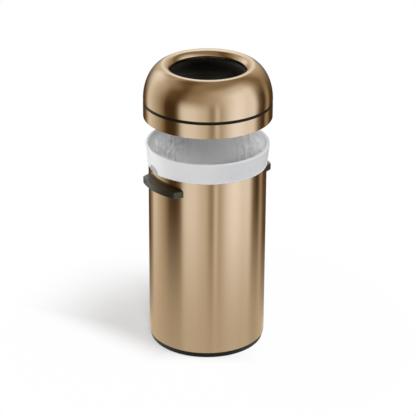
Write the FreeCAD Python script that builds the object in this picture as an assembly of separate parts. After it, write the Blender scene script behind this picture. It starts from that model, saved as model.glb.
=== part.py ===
"""Open-top trash can with a lift-off domed lid. Millimetres, +Z up, origin at the centre of the foot."""
import FreeCAD, Part
import math
import os

V = FreeCAD.Vector
UP = V(0, 0, 1)
FULL_TURN = 360

# Can body: a sheet steel tube with its rim rolled outwards
body_diameter = 385.0
sheet = 1.0
rim_height = 695.0
bead_diameter = 9.0
bead_end_angle = 240.0

# Floor ring and pressed floor pan
ring_height = 18.2
ring_taper = 5.2
ring_foot_width = 6.0
ring_web = 4.0
ring_web_width = 18.0
spigot_height = 8.0
spigot_wall = 4.0
pan_flange = 13.0
fit_gap = 0.15

# Screws that hold the pan down on the ring's bosses
base_screw_count = 6
base_screw_diameter = 4.0
base_screw_length = 12.0
base_head_diameter = 8.0
base_head_height = 2.6
boss_diameter = 11.0

# Side grips: hollow from below, with solid ends that take the screws
handle_drop = 32.0
handle_height = 22.5
handle_depth = 23.0
handle_half_angle = 28.8
handle_end_slant = 6.0
handle_wall = 4.0
handle_roof = 4.5
handle_seat_gap = 0.2
handle_edge_radius = 2.0
handle_corner_radius = 3.5
finger_half_angle = 16.0
handle_angles = {"handle_left": 180.0, "handle_right": 0.0}

# Grip screws, put in from inside the tube
grip_screw_angle = 20.5
grip_screw_diameter = 5.0
grip_screw_reach = 9.0
grip_head_diameter = 9.0
grip_head_height = 3.0
washer_diameter = 12.0
washer_thickness = 1.0
insert_diameter = 8.0
insert_length = 11.0
thread_gap = 0.1
hole_gap = 0.25

# Half-round hole for tucking in spare bag
tuck_angle = 169.0
tuck_width = 57.0
tuck_height = 18.5
tuck_rise = 0.0

# Bag: loose in the tube, over the rim, and down to a hem
film = 0.5
film_gap = 0.3
bag_overhang = 69.0
hem_standoff = 2.1
bag_shoulder = 20.0
bag_slope = 35.0

# Lid: seat ring, skirt, dome and lining
lid_lift = 137.5
seat_gap = 0.3
rim_clearance = 1.9
band_height = 10.4
band_inset = 0.4
seat_wall = 4.4
seat_flange = 6.0
skirt_spigot = 14.0
dome_spigot = 6.0
collar_clearance = 4.4
collar_wall = 3.0
collar_depth = 18.0
skirt_height = 46.4
skirt_fold = 8.0
fold_gap = 0.2
dome_rise = 119.5
dome_shoulder = 17.0
mouth_diameter = 242.0
mouth_flat = 8.8
lip_radius = 14.0
lip_slope = 58.0
lip_straight = 2.0
throat_bend = 3.0
throat_depth = 7.0
lining_wall = 2.0
lining_gap = 0.3
lining_drop = 8.0
lining_collar = 12.0
lining_step = 2.5
lining_lip_inset = 2.0

# Screws that hold the lining on the seat ring
lining_screw_count = 6
lining_screw_diameter = 3.5
lining_screw_bite = 5.0
lining_head_diameter = 7.0
lining_head_height = 2.4

# Radii and levels that follow from the sizes above
body_radius = body_diameter / 2
inner_radius = body_radius - sheet
bead_radius = bead_diameter / 2
bead_center_radius = inner_radius + bead_radius
bead_level = rim_height - bead_radius
rim_radius = inner_radius + bead_diameter
pan_radius = inner_radius - fit_gap
pan_top = ring_height + pan_flange
pan_underside = pan_top - sheet
spigot_radius = pan_radius - sheet - fit_gap
web_inner_radius = spigot_radius - spigot_wall - ring_web_width
boss_circle = web_inner_radius + boss_diameter / 2
hem_level = rim_height - bag_overhang
handle_top = hem_level - handle_drop
handle_bottom = handle_top - handle_height
grip_level = handle_top - handle_height / 2
grip_root = body_radius + handle_seat_gap
grip_face = body_radius + handle_depth
washer_face = math.sqrt(inner_radius ** 2 - (washer_diameter / 2) ** 2) - hole_gap / 2
grip_head_inside = washer_face - washer_thickness - grip_head_height
bag_radius = grip_head_inside - film_gap
bag_floor = pan_top + base_head_height + film_gap
bag_top = rim_height + film_gap + film
bag_rim_radius = rim_radius + film_gap + film
seat_level = bag_top + seat_gap + lid_lift
seat_inner_wall = bag_rim_radius + rim_clearance
seat_radius = seat_inner_wall + seat_wall
lid_inner_radius = seat_radius + fit_gap
lid_radius = lid_inner_radius + sheet
band_top = seat_level + band_height
flange_top = seat_level + seat_flange
collar_radius = inner_radius - film_gap - film - collar_clearance
lining_radius = collar_radius - collar_wall - lining_gap
lining_flange_top = flange_top + lining_wall
lining_screw_circle = (collar_radius + seat_inner_wall) / 2
mouth_radius = mouth_diameter / 2
dome_center = mouth_radius + mouth_flat


def at(radius, level):
    """A point of a section in the XZ plane."""
    return V(radius, 0, level)


def around(radius, angle, level):
    """A point at an angle in degrees round the can's axis."""
    turn = math.radians(angle)
    return V(radius * math.cos(turn), radius * math.sin(turn), level)


def line(start, end):
    return Part.LineSegment(start, end).toShape()


def arc(start, middle, end):
    return Part.Arc(start, middle, end).toShape()


def quarter_ellipse(center, run, rise, turn=0.0):
    """Ellipse from an angle past its crown, in radians, out to its side; either axis may be the longer."""
    crown = center + UP * rise
    side = center + at(run, 0)
    if rise >= abs(run):
        return Part.Arc(Part.Ellipse(crown, side, center), turn, math.pi / 2).toShape()
    return Part.Arc(Part.Ellipse(side, crown, center), 0, math.pi / 2 - turn).toShape()


def chain(points):
    """Straight edges through the points, in order."""
    return [line(a, b) for a, b in zip(points, points[1:])]


def spin(edges):
    """Turn a closed section in the XZ plane about the can's axis."""
    face = Part.Face(Part.Wire(Part.__sortEdges__(edges)))
    return face.revolve(V(0, 0, 0), UP, FULL_TURN)


def spin_points(points):
    return spin(chain(points + points[:1]))


def radial_rod(radius, near, far, angle, level):
    """A round rod along a radius of the can, from one distance off the axis to another."""
    start = around(near, angle, level)
    return Part.makeCylinder(radius, far - near, start, around(1, angle, 0))


def post(radius, low, high, circle, angle):
    return Part.makeCylinder(radius, high - low, around(circle, angle, low), UP)


def spread(count):
    return [FULL_TURN / count * i for i in range(count)]


def grip_screw_places():
    """The angle round the can of each grip screw."""
    return [middle + side * grip_screw_angle for middle in handle_angles.values() for side in (-1, 1)]


def make_body_shell():
    """Tube wall that runs on into the rolled bead; the roll stops short of the wall outside."""
    def on_bead(radius, angle):
        turn = math.radians(angle)
        return at(bead_center_radius + radius * math.cos(turn), bead_level + radius * math.sin(turn))

    core = bead_radius - sheet
    roll_end = bead_end_angle - FULL_TURN
    edges = chain([at(body_radius, bead_level), at(body_radius, ring_height),
                   at(inner_radius, ring_height), at(inner_radius, bead_level)])
    edges.append(arc(on_bead(bead_radius, 180), on_bead(bead_radius, 45), on_bead(bead_radius, roll_end)))
    edges.append(line(on_bead(bead_radius, roll_end), on_bead(core, roll_end)))
    edges.append(arc(on_bead(core, roll_end), on_bead(core, 45), on_bead(core, 180)))
    shell = spin(edges)
    hole_radius = grip_screw_diameter / 2 + hole_gap
    holes = [radial_rod(hole_radius, inner_radius - sheet, body_radius + sheet, angle, grip_level)
             for angle in grip_screw_places()]
    return shell.cut(holes + [make_tuck_cutter()])


def make_tuck_cutter():
    """Half-round prism through the wall: flat below, arched above."""
    middle = around(inner_radius - tuck_height, tuck_angle, hem_level + tuck_rise)
    across = around(tuck_width / 2, tuck_angle + 90, 0)
    crown = UP * tuck_height
    haunch = math.sqrt(0.5)
    left = arc(middle - across, middle - across * haunch + crown * haunch, middle + crown)
    right = arc(middle + crown, middle + across * haunch + crown * haunch, middle + across)
    wire = Part.Wire([left, right, line(middle + across, middle - across)])
    return Part.Face(wire).extrude(around(2 * tuck_height, tuck_angle, 0))


def make_base_ring():
    """Tapered foot, a web across its top, and a spigot inside the pan's flange, with screw bosses."""
    foot_radius = body_radius - ring_taper
    web_low = ring_height - ring_web
    inner_foot = foot_radius - ring_foot_width
    ring = spin_points([
        at(foot_radius, 0), at(body_radius, ring_height), at(spigot_radius, ring_height),
        at(spigot_radius, ring_height + spigot_height),
        at(spigot_radius - spigot_wall, ring_height + spigot_height),
        at(spigot_radius - spigot_wall, ring_height), at(web_inner_radius, ring_height),
        at(web_inner_radius, web_low), at(inner_foot, web_low), at(inner_foot, 0)])
    places = spread(base_screw_count)
    bosses = [post(boss_diameter / 2, web_low, pan_underside, boss_circle, angle) for angle in places]
    pilot = base_screw_diameter / 2 + thread_gap
    tip = pan_top - base_screw_length - thread_gap
    pilots = [post(pilot, tip, pan_top, boss_circle, angle) for angle in places]
    return ring.fuse(bosses).removeSplitter().cut(pilots)


def make_floor_pan():
    """Flat disc with a turned-down flange inside the foot of the tube."""
    pan = spin_points([
        at(0, pan_top), at(pan_radius, pan_top), at(pan_radius, ring_height),
        at(pan_radius - sheet, ring_height), at(pan_radius - sheet, pan_underside), at(0, pan_underside)])
    hole = base_screw_diameter / 2 + hole_gap
    places = spread(base_screw_count)
    return pan.cut([post(hole, pan_underside, pan_top, boss_circle, angle) for angle in places])


def make_base_screws():
    screws = []
    for angle in spread(base_screw_count):
        head = post(base_head_diameter / 2, pan_top, pan_top + base_head_height, boss_circle, angle)
        shank = post(base_screw_diameter / 2, pan_top - base_screw_length, pan_top, boss_circle, angle)
        screws.append(head.fuse(shank).removeSplitter())
    return Part.makeCompound(screws)


def grip_block(near, far, half_near, half_far, low, high, middle):
    """A prism between two radii of the can, with its ends running in from one half angle to the other."""
    def edge_arc(radius, half):
        return arc(*[around(radius, middle + side * half, low) for side in (-1, 0, 1)])

    wire = Part.Wire([
        edge_arc(near, half_near),
        line(around(near, middle + half_near, low), around(far, middle + half_far, low)),
        edge_arc(far, half_far),
        line(around(far, middle - half_far, low), around(near, middle - half_near, low))])
    return Part.Face(wire).extrude(UP * (high - low))


def make_handle(middle):
    """Arched grip with slanted ends, open below between its solid ends for the fingers."""
    half_far = handle_half_angle - handle_end_slant
    grip = grip_block(grip_root, grip_face, handle_half_angle, half_far, handle_bottom, handle_top, middle)
    corners = [edge for edge in grip.Edges if is_upright(edge) and not is_root_edge(edge)]
    grip = grip.makeFillet(handle_corner_radius, corners)
    rims = [edge for edge in grip.Edges if not is_upright(edge) and not is_root_edge(edge)]
    grip = grip.makeFillet(handle_edge_radius, rims)
    pocket = grip_block(grip_root + handle_wall, grip_face - handle_wall, finger_half_angle,
                        finger_half_angle, handle_bottom, handle_top - handle_roof, middle)
    sockets = [radial_rod(insert_diameter / 2, body_radius, grip_root + insert_length,
                          middle + side * grip_screw_angle, grip_level) for side in (-1, 1)]
    return grip.cut([pocket] + sockets)


def is_upright(edge):
    return edge.BoundBox.ZLength > handle_height / 2


def is_root_edge(edge):
    """True for an edge that lies against the tube."""
    return all(math.hypot(v.X, v.Y) < grip_root + handle_seat_gap for v in edge.Vertexes)


def make_handle_inserts():
    """Threaded sleeves in the grips' ends, one for each screw."""
    bore = grip_screw_diameter / 2 + thread_gap
    near = grip_root + handle_seat_gap
    far = grip_root + insert_length
    sleeves = []
    for angle in grip_screw_places():
        sleeve = radial_rod(insert_diameter / 2, near, far, angle, grip_level)
        sleeves.append(sleeve.cut(radial_rod(bore, near, far, angle, grip_level)))
    return Part.makeCompound(sleeves)


def make_handle_washers():
    bore = grip_screw_diameter / 2 + hole_gap
    near = washer_face - washer_thickness
    rings = []
    for angle in grip_screw_places():
        disc = radial_rod(washer_diameter / 2, near, washer_face, angle, grip_level)
        rings.append(disc.cut(radial_rod(bore, near, washer_face, angle, grip_level)))
    return Part.makeCompound(rings)


def make_handle_screws():
    screws = []
    seat = washer_face - washer_thickness
    for angle in grip_screw_places():
        head = radial_rod(grip_head_diameter / 2, grip_head_inside, seat, angle, grip_level)
        shank = radial_rod(grip_screw_diameter / 2, seat, grip_root + grip_screw_reach, angle, grip_level)
        screws.append(head.fuse(shank).removeSplitter())
    return Part.makeCompound(screws)


def make_liner():
    """Bag of even film: floor, loose wall, slope out to the rim, over the bead and down to the hem."""
    def over_bead(radius):
        return arc(at(bead_center_radius - radius, bead_level), at(bead_center_radius, bead_level + radius),
                   at(bead_center_radius + radius, bead_level))

    under = bead_radius + film_gap
    over = under + film
    shoulder = bead_level - bag_shoulder
    slope_foot = shoulder - bag_slope
    hem = body_radius + hem_standoff
    steel_side = chain([
        at(0, bag_floor), at(bag_radius, bag_floor), at(bag_radius, slope_foot),
        at(bead_center_radius - under, shoulder), at(bead_center_radius - under, bead_level)])
    open_side = chain([
        at(bead_center_radius - over, bead_level), at(bead_center_radius - over, shoulder),
        at(bag_radius - film, slope_foot), at(bag_radius - film, bag_floor + film),
        at(0, bag_floor + film), at(0, bag_floor)])
    skirt = chain([
        at(bead_center_radius + under, bead_level), at(hem, hem_level),
        at(hem + film, hem_level), at(bead_center_radius + over, bead_level)])
    return spin(steel_side + [over_bead(under)] + skirt + [over_bead(over)] + open_side)


def dome_inside_radius(height):
    """Radius of the dome's inside face at a height above its foot."""
    run = lid_inner_radius - dome_center
    return dome_center + run * math.sqrt(1 - (height / (dome_rise - sheet)) ** 2)


def make_seat_ring():
    """Band between dome and skirt, spigots inside both, a flange on the rim and a centring collar."""
    band_radius = lid_radius - band_inset
    collar_inner = collar_radius - collar_wall
    spigot_top = band_top + dome_spigot
    spigot_low = seat_level - skirt_spigot
    ring = spin_points([
        at(band_radius, seat_level), at(band_radius, band_top), at(seat_radius, band_top),
        at(dome_inside_radius(dome_spigot) - fit_gap, spigot_top), at(seat_inner_wall, spigot_top),
        at(seat_inner_wall, flange_top), at(collar_inner, flange_top),
        at(collar_inner, seat_level - collar_depth), at(collar_radius, seat_level - collar_depth),
        at(collar_radius, seat_level), at(seat_inner_wall, seat_level),
        at(seat_inner_wall, spigot_low), at(seat_radius, spigot_low), at(seat_radius, seat_level)])
    pilot = lining_screw_diameter / 2 + thread_gap
    tip = flange_top - lining_screw_bite - thread_gap
    places = spread(lining_screw_count)
    return ring.cut([post(pilot, tip, flange_top, lining_screw_circle, angle) for angle in places])


def make_lid_skirt():
    """Steel band below the seat ring's edge, with its lower edge folded back inside."""
    low = seat_level - skirt_height
    fold_outer = lid_inner_radius - fold_gap
    return spin_points([
        at(lid_radius, seat_level), at(lid_radius, low), at(fold_outer - sheet, low),
        at(fold_outer - sheet, low + skirt_fold), at(fold_outer, low + skirt_fold),
        at(fold_outer, low + sheet), at(lid_inner_radius, low + sheet), at(lid_inner_radius, seat_level)])


def dome_section(inset):
    """Edges from the dome's foot over shoulder and lip to the mouth, set in from the outside face."""
    run = lid_radius - dome_center - inset
    rise = dome_rise - inset
    turn = math.radians(dome_shoulder)
    shoulder = at(dome_center + run * math.sin(turn), band_top + rise * math.cos(turn))
    normal = at(math.sin(turn) / run, math.cos(turn) / rise).normalize()
    radius = lip_radius - inset
    middle = shoulder - normal * radius
    crest = middle + UP * radius
    haunch = middle + (normal + UP).normalize() * radius
    outside = [quarter_ellipse(at(dome_center, band_top), run, rise, turn), arc(shoulder, haunch, crest)]
    roll, edge = lip_section(crest, inset)
    return outside + roll, edge


def lip_section(crest, inset):
    """Edges from the lip's crest: rolled over to a slope, bent at its foot, and down an upright throat."""
    slope = math.radians(lip_slope)
    lean = at(-math.sin(slope), math.cos(slope))
    down = at(-math.cos(slope), -math.sin(slope))
    bend = throat_bend - inset
    run = crest.x - mouth_radius - inset
    roll = (run + lip_straight * down.x - bend * (1 + lean.x)) / -lean.x
    middle = crest - UP * roll
    over = middle + (lean + UP).normalize() * roll
    start = middle + lean * roll
    foot = start + down * lip_straight
    center = foot - lean * bend
    knee = center + (lean - at(1, 0)).normalize() * bend
    throat = center - at(bend, 0)
    edge = throat - UP * throat_depth
    return [arc(crest, over, start), line(start, foot), arc(foot, knee, throat), line(throat, edge)], edge


def make_lid_dome():
    """Spun dome: upright at its foot, drawn in to a rolled lip that runs down into the mouth."""
    outside, outer_edge = dome_section(0)
    inside, inner_edge = dome_section(sheet)
    foot = line(at(lid_radius, band_top), at(lid_inner_radius, band_top))
    return spin(outside + inside + [foot, line(outer_edge, inner_edge)])


def make_dome_lining():
    """Moulded inside of the dome: collar in the seat ring, flange, ledge, and a vault up to the lip."""
    lip_edge = dome_section(sheet)[1]
    top = lip_edge.z - lining_gap
    low = seat_level - lining_drop
    spring = lining_flange_top + lining_collar
    lip = mouth_radius + lining_lip_inset
    flange_radius = seat_inner_wall - lining_gap

    inner = lining_radius - lining_wall
    vault = lining_radius + lining_step
    edges = [quarter_ellipse(at(lip, spring), radius - lip, crown - spring)
             for radius, crown in ((vault, top), (vault - lining_wall, top - lining_wall))]
    edges += chain([
        at(vault, spring), at(vault, lining_flange_top),
        at(flange_radius, lining_flange_top), at(flange_radius, flange_top),
        at(lining_radius, flange_top), at(lining_radius, low), at(inner, low), at(inner, spring),
        at(vault - lining_wall, spring)])
    edges.append(line(at(lip, top), at(lip, top - lining_wall)))
    hole = lining_screw_diameter / 2 + hole_gap
    places = spread(lining_screw_count)
    holes = [post(hole, flange_top, lining_flange_top, lining_screw_circle, angle) for angle in places]
    return spin(edges).cut(holes)


def make_lining_screws():
    screws = []
    for angle in spread(lining_screw_count):
        head = post(lining_head_diameter / 2, lining_flange_top, lining_flange_top + lining_head_height,
                    lining_screw_circle, angle)
        shank = post(lining_screw_diameter / 2, flange_top - lining_screw_bite, lining_flange_top,
                     lining_screw_circle, angle)
        screws.append(head.fuse(shank).removeSplitter())
    return Part.makeCompound(screws)


parts = {
    "body_shell": make_body_shell(),
    "base_ring": make_base_ring(),
    "floor_pan": make_floor_pan(),
    "base_screws": make_base_screws(),
    "handle_inserts": make_handle_inserts(),
    "handle_washers": make_handle_washers(),
    "handle_screws": make_handle_screws(),
    "liner": make_liner(),
    "seat_ring": make_seat_ring(),
    "lid_skirt": make_lid_skirt(),
    "lid_dome": make_lid_dome(),
    "dome_lining": make_dome_lining(),
    "lining_screws": make_lining_screws(),
}
for name, middle_angle in handle_angles.items():
    parts[name] = make_handle(middle_angle)

os.makedirs("parts", exist_ok=True)
for name, shape in parts.items():
    shape.exportStep("parts/" + name + ".step")
    state = "valid" if shape.isValid() else "NOT VALID"
    print(name, state, len(shape.Solids), "solids", round(shape.Volume), "mm3")
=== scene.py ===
"""Open-top trash can: champagne steel can, film bag turned over its rim, and a lift-off domed lid."""
import math
import bpy
from mathutils import Matrix, Vector, noise


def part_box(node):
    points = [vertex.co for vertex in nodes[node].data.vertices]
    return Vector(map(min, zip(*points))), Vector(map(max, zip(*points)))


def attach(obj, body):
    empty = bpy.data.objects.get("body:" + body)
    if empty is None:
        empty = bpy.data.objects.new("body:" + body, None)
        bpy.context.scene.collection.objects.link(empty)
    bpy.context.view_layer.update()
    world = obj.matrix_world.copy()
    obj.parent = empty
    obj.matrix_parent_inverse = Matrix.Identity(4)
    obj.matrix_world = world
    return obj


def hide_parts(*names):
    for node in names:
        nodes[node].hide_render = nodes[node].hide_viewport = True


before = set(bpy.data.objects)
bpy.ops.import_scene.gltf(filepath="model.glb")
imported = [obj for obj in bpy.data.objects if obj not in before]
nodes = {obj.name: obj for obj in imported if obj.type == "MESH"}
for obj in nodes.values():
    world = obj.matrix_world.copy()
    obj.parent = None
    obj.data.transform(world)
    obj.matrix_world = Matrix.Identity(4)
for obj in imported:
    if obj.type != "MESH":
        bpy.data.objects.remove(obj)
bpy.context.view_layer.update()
bpy.context.scene.view_settings.view_transform = "Standard"

# Can and its rolled rim, in metres
body_radius = 0.1925
bead_radius = 0.0045
rim_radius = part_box("body_shell")[1].x
rim_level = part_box("body_shell")[1].z
bead_circle = rim_radius - bead_radius
bead_level = rim_level - bead_radius

# Bag, in metres: film over the rim, its hem outside, and its wall and bottom inside
film_stand = 0.0005
hem_radius = 0.1943
hem_level = 0.626
bag_radius = 0.1858
bag_bottom = 0.0356
bag_corner = 0.055

# Half-round hole that the film dips into: degrees round the can, then metres
tuck_angle = 169.0
tuck_half_width = 0.0285
tuck_height = 0.0185
tuck_level = 0.626

# The photograph's camera
view_angle = math.radians(-37.8)
camera_distance = 5.665
camera_height = 3.044
camera_pitch = 0.4285
camera_turn = -0.0004
camera_roll = 0.006
camera_lens = 163.7


def ease(low, high, value):
    """0 below low, 1 above high, and an even curve between."""
    share = min(max((value - low) / (high - low), 0.0), 1.0)
    return share * share * (3 - 2 * share)


def between(first, last, step, count):
    """The value at one of count even steps from first to last."""
    return first + (last - first) * step / count


# Shader nodes
def set_inputs(tree, node, inputs):
    """Link each input that is given a socket, and set any other value."""
    for name, value in inputs.items():
        if isinstance(value, bpy.types.NodeSocket):
            tree.links.new(value, node.inputs[name])
        else:
            node.inputs[name].default_value = value


def add(tree, kind, inputs=None, **settings):
    """A new node with its settings and inputs."""
    node = tree.nodes.new(kind)
    for name, value in settings.items():
        setattr(node, name, value)
    set_inputs(tree, node, inputs or {})
    return node


def math_node(tree, operation, first, second=0.0, third=0.0):
    node = add(tree, "ShaderNodeMath", {0: first, 1: second, 2: third}, operation=operation)
    return node.outputs[0]


def vector_node(tree, operation, first, second=(0.0, 0.0, 0.0)):
    return add(tree, "ShaderNodeVectorMath", {0: first, 1: second}, operation=operation).outputs


def split(tree, vector):
    return add(tree, "ShaderNodeSeparateXYZ", {0: vector}).outputs


def remap(tree, value, low, high, to_low=0.0, to_high=1.0, smooth=False):
    """Low to high becomes to_low to to_high, and values beyond stay at the ends."""
    inputs = {"Value": value, "From Min": low, "From Max": high, "To Min": to_low, "To Max": to_high}
    kind = "SMOOTHSTEP" if smooth else "LINEAR"
    return add(tree, "ShaderNodeMapRange", inputs, interpolation_type=kind).outputs["Result"]


def mix_color(tree, share, first, second):
    node = add(tree, "ShaderNodeMix", {"Factor": share, 6: first, 7: second}, data_type="RGBA")
    return node.outputs[2]


def mix_shader(tree, share, first, second):
    return add(tree, "ShaderNodeMixShader", {0: share, 1: first, 2: second}).outputs[0]


def noise_value(tree, vector, scale, detail=2.0, roughness=0.5):
    inputs = {"Vector": vector, "Scale": scale, "Detail": detail, "Roughness": roughness}
    return add(tree, "ShaderNodeTexNoise", inputs).outputs["Fac"]


def stretched(tree, vector, scale):
    return add(tree, "ShaderNodeMapping", {"Vector": vector, "Scale": scale}).outputs["Vector"]


def bump(tree, height, distance):
    inputs = {"Height": height, "Distance": distance, "Strength": 1.0}
    return add(tree, "ShaderNodeBump", inputs).outputs["Normal"]


def new_material(name):
    """A node material, its tree, its Principled shader and its object coordinates."""
    material = bpy.data.materials.new(name)
    material.use_nodes = True
    tree = material.node_tree
    shader = tree.nodes["Principled BSDF"]
    place = add(tree, "ShaderNodeTexCoord").outputs["Object"]
    return material, tree, shader, place


def new_group(name, inputs, outputs):
    """A shader node group with a vector called Place, number inputs and number outputs."""
    tree = bpy.data.node_groups.new(name, "ShaderNodeTree")
    tree.interface.new_socket("Place", in_out="INPUT", socket_type="NodeSocketVector")
    for socket, value in inputs.items():
        made = tree.interface.new_socket(socket, in_out="INPUT", socket_type="NodeSocketFloat")
        made.default_value = value
    for socket in outputs:
        tree.interface.new_socket(socket, in_out="OUTPUT", socket_type="NodeSocketFloat")
    entry = tree.nodes.new("NodeGroupInput")
    leave = tree.nodes.new("NodeGroupOutput")
    return tree, entry.outputs, leave


def use_group(tree, group, inputs):
    return add(tree, "ShaderNodeGroup", inputs, node_tree=group).outputs


# Effects that several finishes share
def make_moulded_grain():
    """Fine pebbled skin of a moulded part, with slow changes of gloss."""
    inputs = {"Pebbles": 900.0, "Patches": 14.0}
    tree, entry, leave = new_group("moulded grain", inputs, ["Height", "Gloss"])
    cells = add(tree, "ShaderNodeTexVoronoi", {"Vector": entry["Place"], "Scale": entry["Pebbles"]})
    fine = noise_value(tree, entry["Place"], entry["Pebbles"], 3.0)
    height = math_node(tree, "MULTIPLY_ADD", cells.outputs["Distance"], 0.6, fine)
    gloss = noise_value(tree, entry["Place"], entry["Patches"], 4.0)
    set_inputs(tree, leave, {"Height": height, "Gloss": gloss})
    return tree


def make_handling_marks():
    """Soft smudges, and thin scratches that run every way."""
    inputs = {"Smudges": 9.0, "Scratches": 60.0}
    tree, entry, leave = new_group("handling marks", inputs, ["Smudge", "Scratch"])
    blur = noise_value(tree, entry["Place"], entry["Smudges"], 5.0, 0.6)
    smudge = remap(tree, blur, 0.45, 0.75, smooth=True)
    bend = add(tree, "ShaderNodeTexNoise", {"Vector": entry["Place"], "Scale": 6.0, "Detail": 1.0})
    bent = vector_node(tree, "ADD", entry["Place"], bend.outputs["Color"])[0]
    cells = add(tree, "ShaderNodeTexVoronoi", {"Vector": bent, "Scale": entry["Scratches"]},
                feature="DISTANCE_TO_EDGE")
    line = remap(tree, cells.outputs["Distance"], 0.0, 0.012, 1.0, 0.0)
    seldom = remap(tree, noise_value(tree, entry["Place"], 17.0, 3.0), 0.52, 0.66)
    scratch = math_node(tree, "MULTIPLY", line, seldom)
    set_inputs(tree, leave, {"Smudge": smudge, "Scratch": scratch})
    return tree


def make_floor_dust():
    """Dust and scuffs that thin out upwards from the floor."""
    tree, entry, leave = new_group("floor dust", {"Reach": 0.06}, ["Dust"])
    share = math_node(tree, "DIVIDE", split(tree, entry["Place"])["Z"], entry["Reach"])
    low = remap(tree, share, 0.0, 1.0, 1.0, 0.0, smooth=True)
    specks = remap(tree, noise_value(tree, entry["Place"], 160.0, 5.0, 0.7), 0.42, 0.72)
    set_inputs(tree, leave, {"Dust": math_node(tree, "MULTIPLY", low, specks)})
    return tree


moulded_grain = make_moulded_grain()
handling_marks = make_handling_marks()
floor_dust = make_floor_dust()


def ring_lines(tree, place, count):
    """Fine lines that run round the can's axis, count of them to a metre, on tube and dome alike."""
    parts = split(tree, place)
    flat = add(tree, "ShaderNodeCombineXYZ", {"X": parts["X"], "Y": parts["Y"]}).outputs[0]
    radius = vector_node(tree, "LENGTH", flat)["Value"]
    along = math_node(tree, "ADD", radius, parts["Z"])
    across = math_node(tree, "MULTIPLY", along, count)
    spread = stretched(tree, flat, (9.0, 9.0, 0.0))
    line_place = add(tree, "ShaderNodeCombineXYZ", {"Z": across}).outputs[0]
    joined = vector_node(tree, "ADD", spread, line_place)[0]
    return noise_value(tree, joined, 1.0, 3.0, 0.6)


# Finishes
def finish_champagne_steel():
    """Warm satin steel, polished round and round, with a few smudges and a little dust at the foot."""
    material, tree, shader, place = new_material("champagne steel")
    warm_low = (0.418, 0.291, 0.166, 1)
    warm_high = (0.434, 0.305, 0.177, 1)
    line_color = (0.36, 0.25, 0.14, 1)
    dust_color = (0.42, 0.39, 0.35, 1)
    lines = ring_lines(tree, place, 1500.0)
    marks = use_group(tree, handling_marks, {"Place": place})
    dust = use_group(tree, floor_dust, {"Place": place, "Reach": 0.09})
    warm = mix_color(tree, noise_value(tree, place, 5.0, 3.0), warm_low, warm_high)
    lined = mix_color(tree, remap(tree, lines, 0.3, 0.7, 0.0, 0.16), warm, line_color)
    dusty = mix_color(tree, math_node(tree, "MULTIPLY", dust["Dust"], 0.12), lined, dust_color)
    rough = remap(tree, lines, 0.2, 0.8, 0.12, 0.17)
    smudged = math_node(tree, "MULTIPLY_ADD", marks["Smudge"], 0.04, rough)
    scratched = math_node(tree, "MULTIPLY_ADD", marks["Scratch"], 0.12, smudged)
    set_inputs(tree, shader, {
        "Base Color": dusty,
        "Roughness": scratched,
        "Normal": bump(tree, lines, 0.000004),
        "Metallic": 1.0,
        "Specular Tint": (1.0, 0.9, 0.77, 1),
    })
    return material


def finish_bare_metal(name, color, line_count, rough_low, rough_high):
    """Bare metal with rolled or turned lines in it."""
    material, tree, shader, place = new_material(name)
    darker = tuple(part * 0.8 for part in color[:3]) + (1,)
    lines = ring_lines(tree, place, line_count)
    marks = use_group(tree, handling_marks, {"Place": place, "Smudges": 22.0})
    rough = remap(tree, lines, 0.25, 0.75, rough_low, rough_high)
    set_inputs(tree, shader, {
        "Base Color": mix_color(tree, lines, darker, color),
        "Roughness": math_node(tree, "MULTIPLY_ADD", marks["Smudge"], 0.1, rough),
        "Normal": bump(tree, lines, 0.00001),
        "Metallic": 1.0,
    })
    return material


def finish_moulded(name, color, pale, roughness, pebbles, depth, dust_reach, gloss, gloss_tint):
    """Moulded plastic: pebbled skin, uneven gloss, scratches that show pale, and dust near the floor."""
    material, tree, shader, place = new_material(name)
    dust_color = (0.20, 0.19, 0.17, 1)
    grain = use_group(tree, moulded_grain, {"Place": place, "Pebbles": pebbles})
    marks = use_group(tree, handling_marks, {"Place": place, "Smudges": 16.0, "Scratches": 90.0})
    dust = use_group(tree, floor_dust, {"Place": place, "Reach": dust_reach})
    tinted = mix_color(tree, remap(tree, grain["Gloss"], 0.3, 0.7, 0.0, 0.35), color, pale)
    scratched = mix_color(tree, math_node(tree, "MULTIPLY", marks["Scratch"], 0.35), tinted, pale)
    dusty = mix_color(tree, math_node(tree, "MULTIPLY", dust["Dust"], 0.1), scratched, dust_color)
    set_inputs(tree, shader, {
        "Base Color": dusty,
        "Roughness": remap(tree, grain["Gloss"], 0.3, 0.7, *roughness),
        "Normal": bump(tree, grain["Height"], depth),
        "Specular IOR Level": gloss,
        "Specular Tint": gloss_tint,
    })
    return material


def finish_white_film():
    """Thin white film: faint draw lines, a fine crinkle, a soft gloss, and painted shade over the hole.
    """
    material, tree, shader, place = new_material("white film")
    white_low = (0.885, 0.886, 0.889, 1)
    white_high = (0.915, 0.915, 0.917, 1)
    line_color = (0.855, 0.857, 0.861, 1)
    hole_shade_color = (0.45, 0.451, 0.453, 1)
    draw_lines = noise_value(tree, stretched(tree, place, (1.0, 1.0, 0.04)), 420.0, 3.0)
    crinkle = noise_value(tree, place, 110.0, 5.0, 0.65)
    plain = mix_color(tree, noise_value(tree, place, 18.0, 3.0), white_low, white_high)
    lined = mix_color(tree, remap(tree, draw_lines, 0.35, 0.65, 0.0, 0.12), plain, line_color)
    # Painted shade: the film is greyed where it spans the half-round hole, standing for the dark hollow
    # under it
    spanned = add(tree, "ShaderNodeAttribute", attribute_name="painted_hole_shade").outputs["Fac"]
    hole_shaded = mix_color(tree, math_node(tree, "MULTIPLY", spanned, 0.95), lined, hole_shade_color)
    height = math_node(tree, "MULTIPLY_ADD", draw_lines, 0.08, crinkle)
    set_inputs(tree, shader, {
        "Base Color": hole_shaded,
        "Roughness": remap(tree, crinkle, 0.3, 0.7, 0.36, 0.52),
        "Normal": bump(tree, height, 0.0004),
        "Specular IOR Level": 0.4,
    })
    return material


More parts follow.
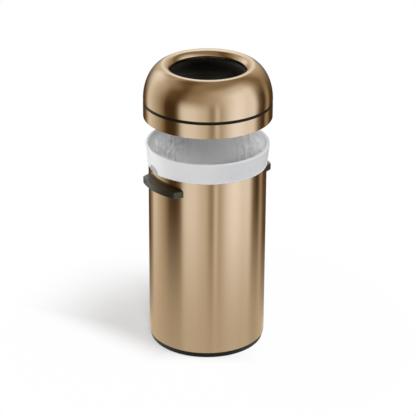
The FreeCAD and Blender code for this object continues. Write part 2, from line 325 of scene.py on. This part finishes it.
champagne_steel = finish_champagne_steel()
plain_steel = finish_bare_metal("mill steel", (0.50, 0.50, 0.49, 1), 700.0, 0.28, 0.42)
screw_steel = finish_bare_metal("zinc screws", (0.62, 0.63, 0.65, 1), 2600.0, 0.18, 0.3)
insert_brass = finish_bare_metal("turned brass", (0.66, 0.49, 0.2, 1), 2600.0, 0.2, 0.32)
black_plastic = finish_moulded(
    "black plastic",
    color=(0.005, 0.0047, 0.0032, 1),
    pale=(0.014, 0.0133, 0.0098, 1),
    roughness=(0.38, 0.52),
    pebbles=1100.0,
    depth=0.00002,
    dust_reach=0.05,
    gloss=0.1,
    gloss_tint=(1.0, 0.87, 0.6, 1),
)
grip_plastic = finish_moulded(
    "grip plastic",
    color=(0.0055, 0.0055, 0.0035, 1),
    pale=(0.016, 0.0158, 0.011, 1),
    roughness=(0.28, 0.38),
    pebbles=420.0,
    depth=0.00004,
    dust_reach=0.02,
    gloss=0.57,
    gloss_tint=(1.0, 0.87, 0.52, 1),
)
lining_plastic = finish_moulded(
    "lining plastic",
    color=(0.0014, 0.0014, 0.0011, 1),
    pale=(0.0042, 0.0041, 0.0034, 1),
    roughness=(0.28, 0.33),
    pebbles=1300.0,
    depth=0.00001,
    dust_reach=0.02,
    gloss=0.23,
    gloss_tint=(1.0, 0.9, 0.62, 1),
)
white_film = finish_white_film()

finishes = {
    "body_shell": champagne_steel,
    "lid_skirt": champagne_steel,
    "lid_dome": champagne_steel,
    "base_ring": black_plastic,
    "seat_ring": black_plastic,
    "handle_left": grip_plastic,
    "handle_right": grip_plastic,
    "dome_lining": lining_plastic,
    "floor_pan": plain_steel,
    "base_screws": screw_steel,
    "handle_washers": screw_steel,
    "handle_screws": screw_steel,
    "lining_screws": screw_steel,
    "handle_inserts": insert_brass,
}
for node_name, finish in finishes.items():
    nodes[node_name].data.materials.clear()
    nodes[node_name].data.materials.append(finish)

# Hem's fold: millimetres out from the hem's radius and up from its level
hem_fold = (
    (-0.9, 5.5), (-0.9, 2.4), (-0.6, 0.6), (0.0, 0.0),
    (0.6, 0.6), (0.8, 2.0), (0.8, 3.4), (0.6, 4.6),
)

# How far the bag's band starts above the hem, and how far its closest rows reach above the hole
band_start = 0.0056
hole_margin = 0.003

# Depths under the bead: end of the close rows, end of the neck, and end of the rows for folds
close_depth = 0.02
neck_depth = 0.05
fold_depth = 0.19

# Rows in each stretch of the bag's section, from the hem to the bottom
hole_rows = 17
band_rows = 16
rim_rows = 14
close_rows = 16
fold_rows = 37
wall_rows = 14
corner_rows = 8
corner_wall_rows = 5
bottom_rows = 9

# Degrees between the bag's columns, elsewhere and within a span of the half-round hole
plain_step = 0.62
fine_step = 0.25
fine_span = 9.5
last_angle = 359.7


def bag_section():
    """Radius, level and place of each row of the bag, from the hem, over the rim, to its bottom."""
    section = []
    for run, rise in hem_fold:
        section.append((hem_radius + run / 1000, hem_level + rise / 1000, "outside"))
    film_radius = bead_radius + film_stand
    top_radius = bead_circle + film_radius
    low = hem_level + band_start
    hole_end = tuck_level + tuck_height + hole_margin
    levels = [between(low, hole_end, step, hole_rows) for step in range(hole_rows)]
    levels += [between(hole_end, bead_level, step, band_rows) for step in range(band_rows)]
    for level in levels:
        share = (level - low) / (bead_level - low)
        section.append((hem_radius + (top_radius - hem_radius) * share, level, "outside"))
    for step in range(rim_rows + 1):
        turn = math.pi * step / rim_rows
        radius = bead_circle + film_radius * math.cos(turn)
        section.append((radius, bead_level + film_radius * math.sin(turn), "rim"))
    neck = bead_circle - film_radius
    drops = [between(0.0, close_depth, step, close_rows) for step in range(1, close_rows + 1)]
    drops += [between(close_depth, fold_depth, step, fold_rows) for step in range(1, fold_rows + 1)]
    for drop in drops:
        radius = neck + (bag_radius - neck) * ease(0.0, neck_depth, drop)
        section.append((radius, bead_level - drop, "wall"))
    wall_low = bag_bottom + bag_corner
    wall_high = bead_level - fold_depth
    for step in range(1, wall_rows + 1):
        section.append((bag_radius, between(wall_high, wall_low, step, wall_rows), "wall"))
    for step in range(1, corner_rows + 1):
        turn = math.pi / 2 * step / corner_rows
        radius = bag_radius - bag_corner * (1 - math.cos(turn))
        place = "wall" if step <= corner_wall_rows else "bottom"
        section.append((radius, wall_low - bag_corner * math.sin(turn), place))
    flat = bag_radius - bag_corner
    for step in range(1, bottom_rows):
        section.append((flat * (1 - step / bottom_rows), bag_bottom, "bottom"))
    return section


def bag_angles():
    """Angles round the bag in degrees, closer together at the half-round hole."""
    angles = []
    angle = 0.0
    while angle < last_angle:
        angles.append(angle)
        angle += fine_step if abs(angle - tuck_angle) < fine_span else plain_step
    return angles


# Creases in the bag's wall: angle, height in from the wall, width on either side, lean, top and bottom
bag_creases = (
    (96.0, 0.0060, 0.0100, 0.0022, 0.16, 0.680, 0.36),
    (104.0, 0.0034, 0.0060, 0.0016, 0.12, 0.670, 0.48),
    (89.0, 0.0034, 0.0070, 0.0018, 0.05, 0.668, 0.50),
    (118.0, 0.0040, 0.0080, 0.0020, 0.25, 0.676, 0.46),
    (7.0, 0.0090, 0.0020, 0.0120, -0.03, 0.680, 0.34),
    (16.0, 0.0040, 0.0020, 0.0070, 0.03, 0.670, 0.46),
    (-1.0, 0.0044, 0.0018, 0.0070, -0.16, 0.676, 0.48),
    (-9.0, 0.0050, 0.0020, 0.0070, -0.20, 0.676, 0.46),
    (55.0, 0.0014, 0.0050, 0.0070, 0.02, 0.650, 0.35),
    (146.0, 0.0036, 0.0018, 0.0060, 0.08, 0.672, 0.40),
    (215.0, 0.0040, 0.0018, 0.0080, 0.05, 0.670, 0.30),
    (262.0, 0.0034, 0.0070, 0.0018, -0.06, 0.672, 0.34),
    (300.0, 0.0042, 0.0018, 0.0080, 0.04, 0.668, 0.28),
)
crease_reach = 0.03

# Degrees round the can where the film is gathered
gather_angles = (112, -8)

# Where the hem sags: degrees round the can, spread in degrees, and depth
hem_sags = (
    (175, 15, 0.0048),
    (290, 32, 0.0018),
)
hem_wave = 0.0006

# How far the folds inside the bag stand in from its wall, in metres
pucker_height = 0.0008
gather_top_height = 0.0009
gather_height = 0.0046
swell_height = 0.0042
fold_height = 0.003
crinkle_height = 0.0022

# Depths under the bead where the gathers grow, where they die away, and where the other folds begin
gather_growth = (0.012, 0.045)
gather_end = (0.14, 0.05)
fold_start = (0.0, 0.06)

# Room for folds inside the bag: by the rim, where the lid's collar passes, and the further room below
rim_room = 0.0007
wall_room = 0.014
room_growth = (0.0135, 0.045)
rim_hold = (0.0, 0.003)

# How far the folds outside the bag, on its rim and at its bottom stand off, in metres
band_wave_height = 0.00035
band_pull_height = 0.0003
rim_gather_height = 0.0007
rim_stand = 0.0001
rim_pleat_height = 0.00025
hole_edge_height = 0.0005
hole_dip_depth = 0.0016
lump_height = 0.004
ray_height = 0.003
seam_height = 0.003
seam_width = 0.0025


def direction(angle):
    """The way out from the can's axis at an angle in degrees."""
    turn = math.radians(angle)
    return Vector((math.cos(turn), math.sin(turn), 0))


def crease_height(angle, level):
    """How far the bag's creases stand in from its wall at a place."""
    height = 0.0
    for middle, rise, left_width, right_width, lean, top, bottom in bag_creases:
        off = (angle - middle + 180) % 360 - 180
        across = math.radians(off) * bag_radius - lean * (top - level)
        if abs(across) < crease_reach:
            width = left_width if across < 0 else right_width
            fade = ease(top + 0.004, top - 0.03, level) * ease(bottom - 0.05, bottom + 0.1, level)
            height += rise * fade * math.exp(-abs(across / width) ** 1.5)
    return height


def ridge(vector):
    """Sharp folds where a noise changes sign."""
    return max(0.0, 1 - 3.2 * abs(noise.noise(vector)))


def rim_gathers(side, level):
    """Small gathers that run from the bag's band over its rim."""
    return ridge(side * 19.0 + Vector((6, 0, level * 20))) * rim_gather_height


def slackness(angle):
    """1 at the two places where the film is gathered, and little elsewhere."""
    nearest = max(math.cos(math.radians(angle - middle)) for middle in gather_angles)
    return 0.06 + 0.94 * max(nearest, 0.0) ** 4


def hem_drop(angle):
    """How far the hem hangs lower than level, most where the film is drawn down at the hole."""
    drop = hem_wave * noise.noise((direction(angle) + Vector((0, 0, 3))) * 3.0)
    for middle, spread, depth in hem_sags:
        drop += depth * math.exp(-((angle - middle) / spread) ** 2)
    return drop


def tuck_reach(angle, level):
    """0 at the middle of the half-round hole's foot, 1 at its edge, more beyond it."""
    across = math.radians(angle - tuck_angle) * body_radius
    rise = level - tuck_level
    return math.hypot(across / tuck_half_width, max(rise, 0.0) / tuck_height)


def tuck_dip(angle, level):
    """1 where the film dips into the half-round hole, 0 outside it."""
    return ease(1.03, 0.95, tuck_reach(angle, level))


def outside_shift(angle, side, level):
    """How far the bag's band stands out from its plain section."""
    soft = noise.noise(side * 3.0 + Vector((0, 0, level * 9))) * band_wave_height
    pulled = ridge(side * 9.0 + Vector((3, 0, level * 3))) * band_pull_height
    puffed = rim_gathers(side, level) * ease(bead_level - 0.012, bead_level, level)
    held = ease(hem_level + 0.0045, hem_level + 0.02, level)
    edge = hole_edge_height * ease(1.22, 1.06, tuck_reach(angle, level))
    drawn = edge - hole_dip_depth * tuck_dip(angle, level)
    above_hem = ease(hem_level - 0.002, hem_level + 0.002, level)
    return soft + (pulled + puffed) * held + drawn * above_hem


def rim_shift(side, radius):
    """How far the film stands off the rim's bead, with more gathers towards the outside."""
    outer = max((radius - bead_circle) / bead_radius, 0.0)
    pleats = noise.noise(side * 16.0 + Vector((0, 2, 0))) + 0.6 * noise.noise(side * 37.0)
    return rim_stand + rim_pleat_height * pleats + rim_gathers(side, bead_level) * outer


def wall_shift(angle, side, level):
    """How far the film stands in from its wall, less near the rim where the lid's collar passes."""
    depth = bead_level - level
    slack = slackness(angle)
    fade = ease(*fold_start, depth)
    pucker = noise.noise(side * 11.0 + Vector((0, 5, level * 30))) * pucker_height
    pucker *= 0.15 + 0.85 * slack
    gathers = ridge(side * 7.0 + Vector((0, 3, level * 40 + side.y * 4))) ** 1.5
    gathers += 0.6 * ridge(side * 14.0 + Vector((4, 0, level * 66 - side.x * 7)))
    gathered = gathers * (gather_top_height + gather_height * ease(*gather_growth, depth))
    gathered *= ease(*gather_end, depth) * slack
    swell = (noise.noise(side * 2.1 + Vector((7, 0, level * 1.6))) + 0.55) * swell_height * fade
    fold = ridge(side * 4.6 + Vector((0, 0, level * 1.1 + 4))) ** 2 * fold_height * fade
    fold *= 0.2 + 0.8 * slack
    crinkle = ridge(side * 12.0 + Vector((0, 9, level * 30))) ** 2 * crinkle_height * fade * slack
    whole = pucker + gathered + swell + fold + crinkle + crease_height(angle, level)
    room = rim_room + wall_room * ease(*room_growth, depth)
    return max(room * math.tanh(whole / room), -rim_room) * ease(*rim_hold, depth)


def bottom_shift(side, radius):
    """How far the bag's bottom stands up in lumps, rays and a seam."""
    spread = radius / (bag_radius - bag_corner)
    lumps = (noise.noise(side * radius * 22 + Vector((1, 1, 0))) + 0.6) * lump_height
    rays = ridge(side * (2.0 + radius * 14)) ** 2 * ray_height * ease(0.05, 0.5, spread)
    seam = math.exp(-(side.y * radius / seam_width) ** 2) * seam_height
    return lumps + rays + seam


def bag_shift(angle, radius, level, place):
    """How far the film stands off its plain section at a place."""
    side = direction(angle)
    if place == "outside":
        return outside_shift(angle, side, level)
    if place == "rim":
        return rim_shift(side, radius)
    if place == "wall":
        return wall_shift(angle, side, level)
    return bottom_shift(side, radius)


def make_bag():
    """The film bag as one sheet, from its hem to its bottom, with its folds made point by point."""
    section = bag_section()
    angles = bag_angles()
    points = []
    painted_hole_shade = []
    for row, (radius, level, place) in enumerate(section):
        before = section[max(row - 1, 0)]
        after = section[min(row + 1, len(section) - 1)]
        run = after[0] - before[0]
        rise = after[1] - before[1]
        length = math.hypot(run, rise)
        for angle in angles:
            hung = level
            if place == "outside":
                hung -= hem_drop(angle) * (bead_level - level) / (bead_level - hem_level)
            shift = bag_shift(angle, radius, hung, place)
            # The dip's share is kept on each point for the film's painted shade over the hole
            painted_hole_shade.append(tuck_dip(angle, hung) if place == "outside" else 0.0)
            out = radius + shift * rise / length
            turn = math.radians(angle)
            points.append((out * math.cos(turn), out * math.sin(turn), hung - shift * run / length))
    count = len(angles)
    faces = []
    for row in range(len(section) - 1):
        here = row * count
        below = here + count
        for step in range(count):
            beside = (step + 1) % count
            faces.append((here + step, here + beside, below + beside, below + step))
    last = (len(section) - 1) * count
    points.append((0, 0, bag_bottom + seam_height))
    painted_hole_shade.append(0.0)
    for step in range(count):
        faces.append((last + step, last + (step + 1) % count, len(points) - 1))
    mesh = bpy.data.meshes.new("film_bag")
    mesh.from_pydata(points, [], faces)
    mesh.attributes.new("painted_hole_shade", "FLOAT", "POINT").data.foreach_set("value", painted_hole_shade)
    mesh.shade_smooth()
    mesh.materials.append(white_film)
    bag = bpy.data.objects.new("film_bag", mesh)
    bpy.context.scene.collection.objects.link(bag)
    return bag


film_bag = make_bag()
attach(film_bag, "can")
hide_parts("liner")


# Studio
def toward(side, rise=0.0):
    """The way out from the can's axis at degrees right of the camera and degrees up."""
    turn = view_angle + math.radians(side)
    up = math.radians(rise)
    return Vector((math.sin(turn) * math.cos(up), -math.cos(turn) * math.cos(up), math.sin(up)))


# Floor: its colour, its glow, and the distances from the axis over which its shadow fades to white
floor_color = (0.75, 0.75, 0.75, 1)
floor_glow = 0.255
shadow_fade = (0.28, 0.74)

# Share of the floor that metal doesn't see, by distance on all sides
mirror_fade = (body_radius, 1.5)
mirror_loss = (0.12, 1.0)

# The same behind the can: how far round that starts, the share lost there, and less of it close by
behind_facing = (-0.8, 0.1)
behind_loss = (0.97, 0.0)
behind_fade = (0.3, 0.9)
behind_share = (0.6, 1.0)

# Where the floor is painted white beside its kept shadow, hiding the lamps' shadows there: degrees right
# of the camera, and distances of start and end
painted_white_sides = (
    (90, -0.12, 0.2),
    (0, 0.1, 0.24),
    (-41, 0.15, 0.31),
    (180, 0.24, 0.58),
)
painted_white_share = 0.96


def floor_distance(tree, place, side):
    """How far a place on the floor lies out from the can's axis, at degrees right of the camera."""
    return vector_node(tree, "DOT_PRODUCT", place, toward(side))["Value"]


def make_floor():
    """White floor: it keeps a soft shadow, is painted white over the lamps' shadows on its other sides,
    and metal sees it white near the can and panels beyond.
    """
    bpy.ops.object.select_all(action="DESELECT")
    bpy.ops.mesh.primitive_circle_add(vertices=96, radius=14, fill_type="NGON", location=(0, 0, -0.0002))
    bpy.ops.object.transform_apply(location=True)
    floor = bpy.context.object
    floor.name = "studio_floor"
    material, tree, shader, place = new_material("studio floor")
    tree.nodes.remove(shader)
    path = add(tree, "ShaderNodeLightPath").outputs
    reach = vector_node(tree, "LENGTH", place)["Value"]
    lit = add(tree, "ShaderNodeBsdfDiffuse", {"Color": floor_color}).outputs[0]
    glow = add(tree, "ShaderNodeEmission", {"Strength": floor_glow}).outputs[0]
    near = add(tree, "ShaderNodeAddShader", {0: lit, 1: glow}).outputs[0]
    white = add(tree, "ShaderNodeEmission", {"Strength": 1.0}).outputs[0]
    clear = add(tree, "ShaderNodeBsdfTransparent").outputs[0]
    whitened = remap(tree, reach, *shadow_fade, smooth=True)
    # Painted light: white is mixed into the floor on these sides, so the lamps' shadows there don't show
    for side, start, end in painted_white_sides:
        distance = floor_distance(tree, place, side)
        painted_white = remap(tree, distance, start, end, 0.0, painted_white_share, smooth=True)
        whitened = math_node(tree, "MAXIMUM", whitened, painted_white)
    seen = mix_shader(tree, whitened, near, white)
    fade = remap(tree, reach, *mirror_fade, *mirror_loss, smooth=True)
    facing = math_node(tree, "DIVIDE", floor_distance(tree, place, 0), reach)
    turned_away = remap(tree, facing, *behind_facing, *behind_loss, smooth=True)
    farther = remap(tree, reach, *behind_fade, *behind_share)
    dimmed = math_node(tree, "MULTIPLY", turned_away, farther)
    hidden = math_node(tree, "MAXIMUM", fade, dimmed)
    mirrored = mix_shader(tree, hidden, white, clear)
    direct = mix_shader(tree, path["Is Camera Ray"], lit, seen)
    whole = mix_shader(tree, path["Is Glossy Ray"], direct, mirrored)
    set_inputs(tree, tree.nodes["Material Output"], {"Surface": whole})
    floor.data.materials.append(material)


# Panels round the can that its metal shows: degrees right of the camera, and brightness there
low_panels = (
    (-180, 0.12), (-155, 0.06), (-147, 0.12), (-138, 0.42), (-129, 1.42), (-120, 1.46), (-94, 0.7),
    (-86, 0.38), (-79, 0.08), (-60, 0.06), (-54, 0.24), (-47, 1.5), (-40, 1.8), (-24, 1.76),
    (-13, 1.42), (-2, 1.2), (6, 0.5), (11, 0.52), (16, 1.7), (23, 0.78), (40, 1.85), (52, 2.18),
    (62, 2.1), (73, 1.84), (89, 1.9), (101, 0.26), (112, 0.05), (118, 0.06), (125, 0.6),
    (131, 0.56), (139, 0.08), (172, 0.06),
)
middle_panels = (
    (-180, 1.9), (-168, 1.55), (-154, 1.15), (-145, 1.9), (-136, 2.08), (-125, 1.82), (-114, 1.32),
    (-95, 0.9), (-85, 0.46), (-77, 0.2), (-56, 0.13), (-47, 0.24), (-36, 0.54), (-15, 0.66),
    (-5, 0.76), (15, 0.94), (25, 1.12), (36, 1.5), (54, 2.08), (66, 2.06), (76, 1.92), (88, 1.88),
    (104, 0.72), (116, 0.34), (126, 0.3), (136, 0.62), (150, 0.88), (168, 1.35), (180, 1.9),
)
high_panels = (
    (-180, 2.4), (-158, 2.35), (-150, 1.35), (-143, 0.55), (-130, 0.95), (-120, 0.9), (-104, 0.74),
    (-90, 0.52), (-80, 0.46), (-72, 0.34), (-62, 0.2), (-50, 0.18), (-40, 0.34), (-30, 0.42),
    (-16, 0.53), (-5, 0.66), (16, 0.96), (36, 1.14), (65, 1.42), (85, 1.26), (104, 0.76),
    (124, 0.34), (137, 0.36), (146, 0.52), (153, 1.4), (160, 2.3), (180, 2.4),
)
panel_full = 2.4

# Brightness overhead, on the left and on the right of a slanting edge
overhead_left = 0.19
overhead_right = 0.47
overhead_slant = (0.73, 1.0, 0.0)
overhead_edge = (-0.3, -0.02)

# Where one row of panels gives way to the next, as the sine of the rise
low_end = 0.43
high_blend = (0.45, 0.74)

# The same for the low panels' foot and for the overhead part, in front of the can and behind it
low_foot = (-0.05, -0.3)
roof_start = (0.71, 0.9)
roof_end = (0.94, 0.995)

# Where behind begins and is reached: for the foot as the part of a direction, for the roof in radians
foot_behind = (-0.3, -0.8)
roof_behind = (2.1, 2.5)

# Light from all round for matt surfaces
plain_light = 0.1


def panel_color(level):
    """Dim panels are brown and bright ones a little cool, as a share of the full strength."""
    share = level / panel_full
    return (share * level ** -0.19, share, share * level ** 0.34, 1)


def panel_ramp(tree, around, panels):
    """The panels' colours by direction, with soft edges between them."""
    ramp = add(tree, "ShaderNodeValToRGB", {"Fac": around})
    stops = ramp.color_ramp.elements
    for _ in range(len(panels) - 2):
        stops.new(0.5)
    for stop, (side, level) in zip(stops, panels):
        stop.position = (side + 180) / 360
        stop.color = panel_color(level)
    return ramp.outputs["Color"]


def background(tree, color, strength):
    return add(tree, "ShaderNodeBackground", {"Color": color, "Strength": strength}).outputs[0]


def make_surroundings():
    """White to the camera, plain light for matt surfaces, and the panels for metal and gloss."""
    world = bpy.data.worlds.new("studio")
    bpy.context.scene.world = world
    world.use_nodes = True
    tree = world.node_tree
    tree.nodes.clear()
    path = add(tree, "ShaderNodeLightPath").outputs
    way = add(tree, "ShaderNodeTexCoord").outputs["Generated"]
    inputs = {"Vector": way, "Angle": math.radians(90) - view_angle}
    turned = add(tree, "ShaderNodeVectorRotate", inputs, rotation_type="Z_AXIS").outputs[0]
    parts = split(tree, turned)
    up = parts["Z"]
    angle = math_node(tree, "ARCTAN2", parts["Y"], parts["X"])
    around = remap(tree, angle, -math.pi, math.pi)
    low = panel_ramp(tree, around, low_panels)
    middle = panel_ramp(tree, around, middle_panels)
    high = panel_ramp(tree, around, high_panels)
    foot = remap(tree, parts["X"], *foot_behind, *low_foot)
    lower = mix_color(tree, remap(tree, up, foot, low_end, smooth=True), low, middle)
    walls = mix_color(tree, remap(tree, up, *high_blend, smooth=True), lower, high)
    aslant = vector_node(tree, "DOT_PRODUCT", turned, overhead_slant)["Value"]
    right_share = remap(tree, aslant, *overhead_edge)
    overhead = mix_color(tree, right_share, panel_color(overhead_left), panel_color(overhead_right))
    behind = remap(tree, math_node(tree, "ABSOLUTE", angle), *roof_behind)
    roof_low = remap(tree, behind, 0, 1, *roof_start)
    roof_high = remap(tree, behind, 0, 1, *roof_end)
    shown = mix_color(tree, remap(tree, up, roof_low, roof_high, smooth=True), walls, overhead)
    panels = background(tree, shown, panel_full)
    plain = background(tree, (1, 1, 1, 1), plain_light)
    white = background(tree, (1, 1, 1, 1), 1.0)
    matt = mix_shader(tree, path["Is Glossy Ray"], plain, panels)
    whole = mix_shader(tree, path["Is Camera Ray"], matt, white)
    add(tree, "ShaderNodeOutputWorld", {"Surface": whole})


# Lamps: degrees right of the camera, degrees up, distance, size and power
lamps = {
    "high_lamp": (70, 69, 3.5, 1.6, 51),
    "left_lamp": (-116, 14, 3.5, 1.5, 72),
    "right_lamp": (110, -3, 3.5, 0.8, 31),
    "front_lamp": (4, 27, 4.5, 0.8, 52),
    "side_lamp": (-50, 18, 4.5, 0.9, 37),
}
lamp_aim = Vector((0, 0, 0.6))


def make_lamp(name, side, rise, distance, size, power):
    """Soft lamp for matt surfaces, aimed at the can a little under its rim."""
    light = bpy.data.lights.new(name, "AREA")
    light.size = size
    light.energy = power
    lamp = bpy.data.objects.new(name, light)
    lamp.location = lamp_aim + toward(side, rise) * distance
    lamp.rotation_euler = (lamp_aim - lamp.location).to_track_quat("-Z", "Y").to_euler()
    lamp.visible_glossy = False
    bpy.context.scene.collection.objects.link(lamp)


def make_camera():
    """The photograph's camera: a long lens, well above the can and tilted down to it."""
    data = bpy.data.cameras.new("photo_camera")
    data.lens = camera_lens
    data.sensor_width = 36.0
    data.clip_end = 60.0
    camera = bpy.data.objects.new("photo_camera", data)
    place = toward(0) * camera_distance + Vector((0, 0, camera_height))
    turn = Matrix.Rotation(view_angle + camera_turn, 4, "Z")
    tilt = Matrix.Rotation(math.pi / 2 - camera_pitch, 4, "X")
    roll = Matrix.Rotation(camera_roll, 4, "Z")
    camera.matrix_world = Matrix.Translation(place) @ turn @ tilt @ roll
    bpy.context.scene.collection.objects.link(camera)
    bpy.context.scene.camera = camera


make_floor()
make_surroundings()
for lamp_name, lamp_values in lamps.items():
    make_lamp(lamp_name, *lamp_values)
make_camera()
